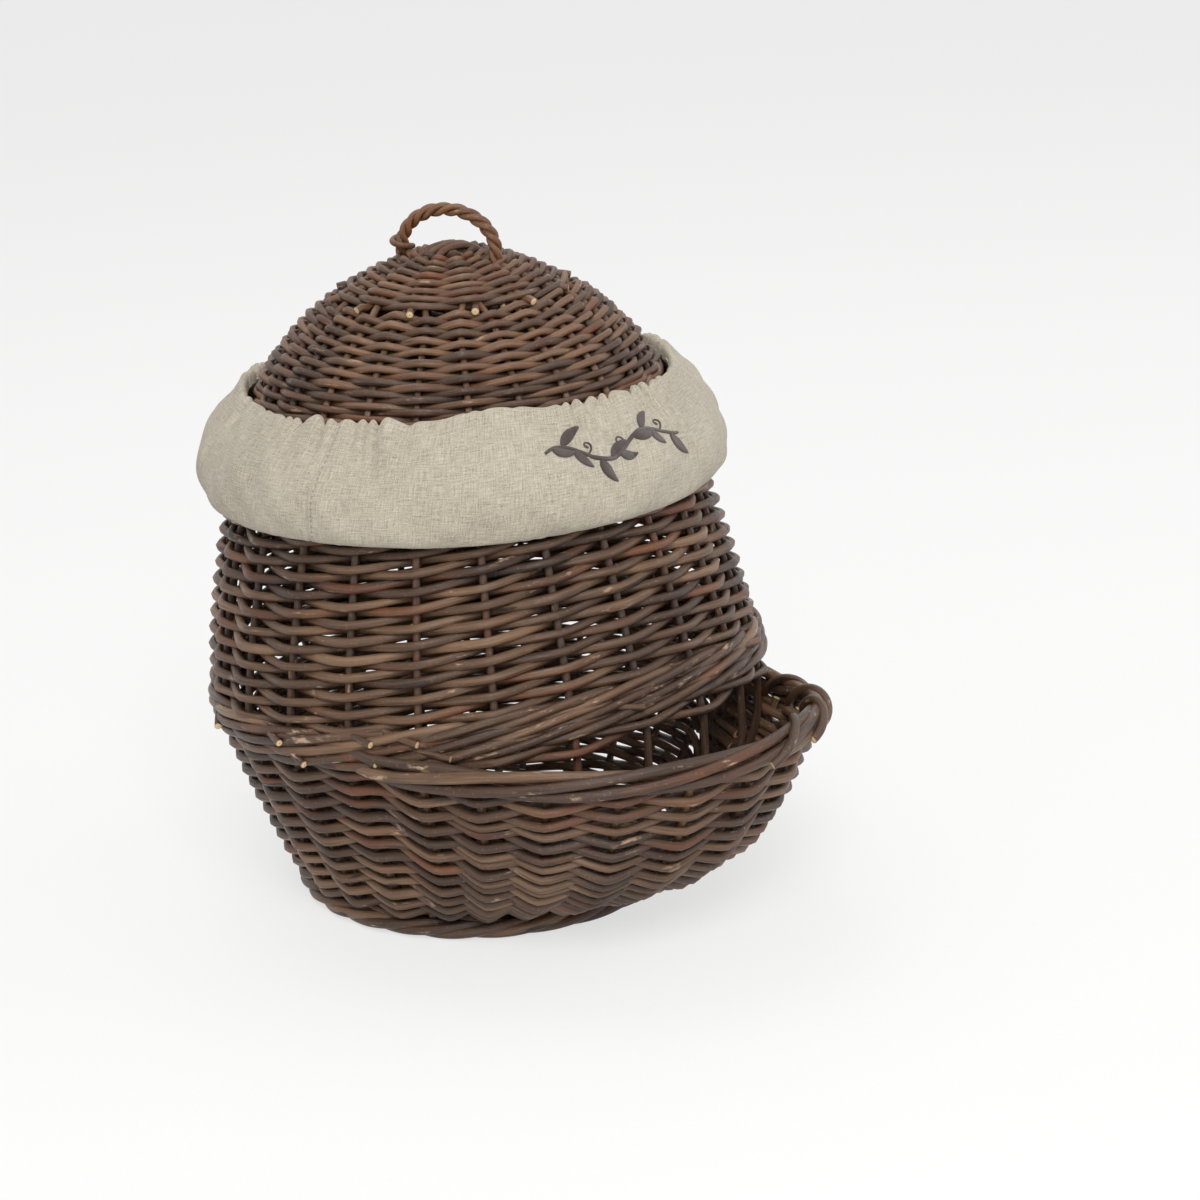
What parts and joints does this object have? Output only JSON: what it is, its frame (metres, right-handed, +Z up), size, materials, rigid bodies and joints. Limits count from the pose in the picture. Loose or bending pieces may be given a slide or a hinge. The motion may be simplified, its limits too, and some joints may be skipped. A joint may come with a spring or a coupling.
{
  "type": "lidded vegetable basket",
  "caption": "Pot-bellied wicker storage basket with a low front pouch to take vegetables from, a gathered linen collar round its neck and a loose domed lid with a twisted handle.",
  "frame": {"origin": "on the ground under the middle of the basket's box", "axes": "+Z up, -Y is the front, where the pouch stands out"},
  "size_m": [0.3504, 0.4052, 0.4136],
  "materials": {
    "willow_body": "dark-stained willow rods, satin",
    "willow_lid": "dark-stained willow rods, satin",
    "willow_border": "dark-stained thick willow rods, satin",
    "willow_handle": "golden-brown willow rods, slightly glossy",
    "linen": "plain-woven natural linen, matt",
    "elastic": "covered elastic cord, matt"
  },
  "bodies": {
    "basket": {"foot_border": "willow_border", "base_weave": "willow_body", "base_slath": "willow_body", "lower_siding": "willow_body", "upper_siding": "willow_body", "front_apron": "willow_body", "front_stake_1": "willow_body", "front_stake_2": "willow_body", "front_stake_3": "willow_body", "front_stake_4": "willow_body", "front_stake_5": "willow_body", "front_stake_6": "willow_body", "front_stake_7": "willow_body", "front_stake_8": "willow_body", "back_stake_1": "willow_body", "back_stake_2": "willow_body", "back_stake_3": "willow_body", "back_stake_4": "willow_body", "back_stake_5": "willow_body", "back_stake_6": "willow_body", "back_stake_7": "willow_body", "back_stake_8": "willow_body", "back_stake_9": "willow_body", "back_stake_10": "willow_body", "back_stake_11": "willow_body", "back_stake_12": "willow_body", "back_stake_13": "willow_body", "back_stake_14": "willow_body", "back_stake_15": "willow_body", "back_stake_16": "willow_body", "pouch_stake_1": "willow_body", "pouch_stake_2": "willow_body", "pouch_stake_3": "willow_body", "pouch_stake_4": "willow_body", "pouch_stake_5": "willow_body", "pouch_stake_6": "willow_body", "pouch_stake_7": "willow_body", "pouch_stake_8": "willow_body", "pouch_stake_9": "willow_body", "pouch_stake_10": "willow_body", "pouch_stake_11": "willow_body", "waist_wale": "willow_border", "pouch_border": "willow_border", "rim_border": "willow_border", "linen_collar": "linen", "collar_top_elastic": "elastic", "collar_lower_elastic": "elastic"},
    "lid": {"lid_border": "willow_lid", "lid_siding": "willow_lid", "lid_crown": "willow_lid", "lid_stick_upper_1": "willow_lid", "lid_stick_upper_2": "willow_lid", "lid_stick_upper_3": "willow_lid", "lid_stick_lower_1": "willow_lid", "lid_stick_lower_2": "willow_lid", "lid_stick_lower_3": "willow_lid", "handle_rod_1": "willow_handle", "handle_rod_2": "willow_handle", "handle_rod_3": "willow_handle"}
  },
  "joints": [
    {"name": "lid_lift", "type": "slide", "parent": "basket", "child": "lid", "axis": [0, 0, 1], "range_m": [0, 0.15]}
  ]
}
